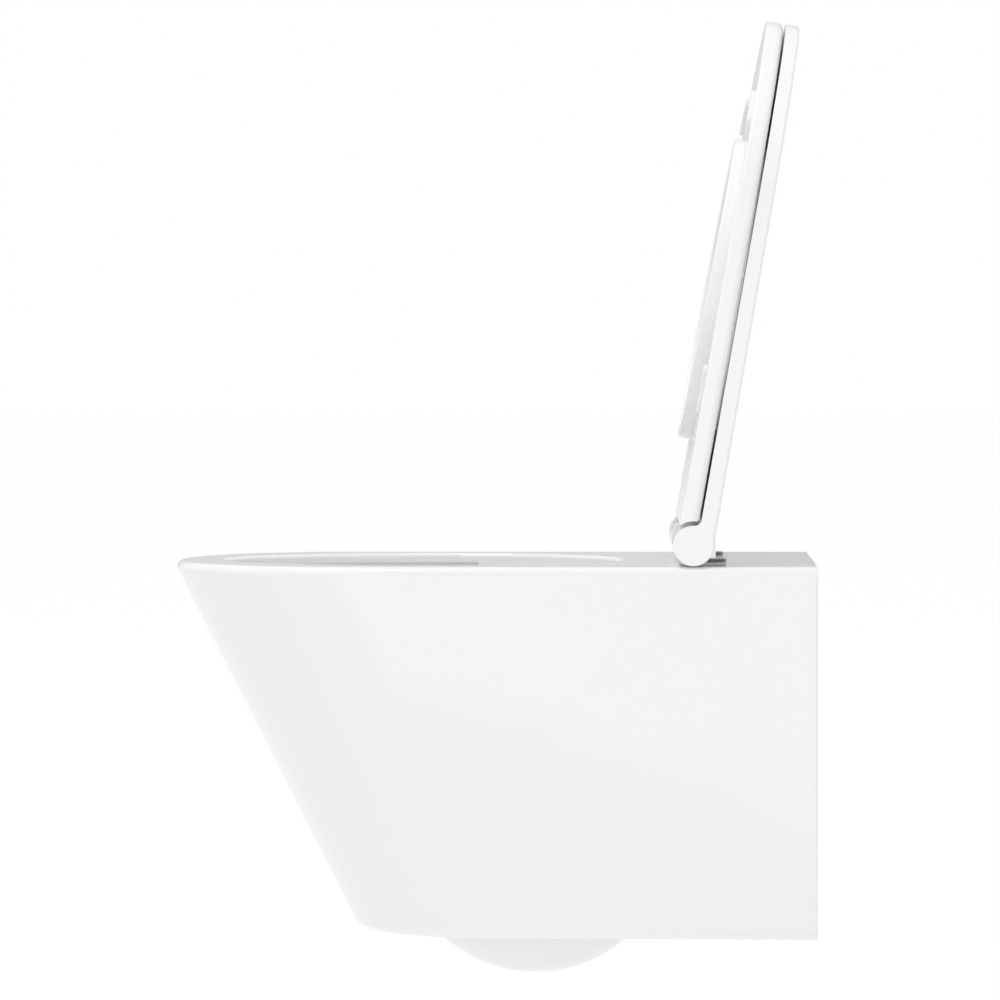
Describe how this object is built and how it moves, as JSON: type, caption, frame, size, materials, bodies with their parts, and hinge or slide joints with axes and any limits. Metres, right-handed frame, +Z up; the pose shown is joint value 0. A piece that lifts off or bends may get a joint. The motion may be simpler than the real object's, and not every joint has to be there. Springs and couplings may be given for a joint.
{
  "type": "wall hung toilet",
  "caption": "Skirted rimless wall hung toilet with an open bowl, trap, and a slim soft-close seat and lid on quick-release hinges, both raised.",
  "frame": {"origin": "on the wall plane, midway between the two wall studs", "axes": "+Y into the wall, +Z up, +X across, the toilet's front faces -Y"},
  "size_m": [0.3598, 0.5399, 0.8088],
  "materials": {
    "glazed_ceramic": "glossy white glaze",
    "white_duroplast": "glossy white",
    "chrome": "polished",
    "zinc_coated_steel": "zinc plated",
    "grey_plastic": "satin",
    "black_plastic": "satin",
    "bearing_plastic": "satin",
    "white_rubber": "matt",
    "black_rubber": "matt",
    "brass": "machined"
  },
  "bodies": {
    "pan": {"ceramic_pan": "glazed_ceramic", "clamp_screws": "zinc_coated_steel", "hinge_bolts": "zinc_coated_steel", "hinge_washers": "black_plastic", "hinge_nuts": "brass", "wall_sleeve_left": "zinc_coated_steel", "wall_sleeve_right": "zinc_coated_steel", "fixing_bush_left": "bearing_plastic", "fixing_bush_right": "bearing_plastic", "clamp_block_left": "black_plastic", "clamp_block_right": "black_plastic", "hinge_rosette_left": "chrome", "hinge_rosette_right": "chrome", "rosette_gasket_left": "white_rubber", "rosette_gasket_right": "white_rubber", "hinge_post_left": "chrome", "hinge_post_right": "chrome", "expansion_sleeve_left": "black_rubber", "expansion_sleeve_right": "black_rubber"},
    "hinge_carrier": {"hinge_barrel_left": "chrome", "hinge_barrel_right": "chrome", "hinge_pin_left": "zinc_coated_steel", "hinge_pin_right": "zinc_coated_steel", "lid_damper": "grey_plastic", "seat_damper": "grey_plastic"},
    "button_left": {"release_button_left": "chrome"},
    "button_right": {"release_button_right": "chrome"},
    "lid": {"lid_cover": "white_duroplast", "lid_buffers": "white_rubber", "lid_bush_left": "bearing_plastic", "lid_bush_right": "bearing_plastic"},
    "seat": {"seat_ring": "white_duroplast", "seat_buffers": "white_rubber", "seat_bush_left": "bearing_plastic", "seat_bush_right": "bearing_plastic"}
  },
  "joints": [
    {"name": "seat_lift", "type": "slide", "parent": "pan", "child": "hinge_carrier", "axis": [0, 0, 1], "range_m": [0, 0.035]},
    {"name": "lid_hinge", "type": "hinge", "parent": "hinge_carrier", "child": "lid", "pos_m": [0, -0.103, 0.0976], "axis": [1, 0, 0], "range_deg": [0, 100]},
    {"name": "seat_hinge", "type": "hinge", "parent": "lid", "child": "seat", "pos_m": [0, -0.103, 0.0976], "axis": [-1, 0, 0], "range_deg": [-100, 0]},
    {"name": "release_button_left", "type": "slide", "parent": "hinge_carrier", "child": "button_left", "axis": [0, 1, 0], "range_m": [0, 0.002], "stiffness_N_per_m": 300, "springref_m": -0.003},
    {"name": "release_button_right", "type": "slide", "parent": "hinge_carrier", "child": "button_right", "axis": [0, 1, 0], "range_m": [0, 0.002], "stiffness_N_per_m": 300, "springref_m": -0.003}
  ]
}
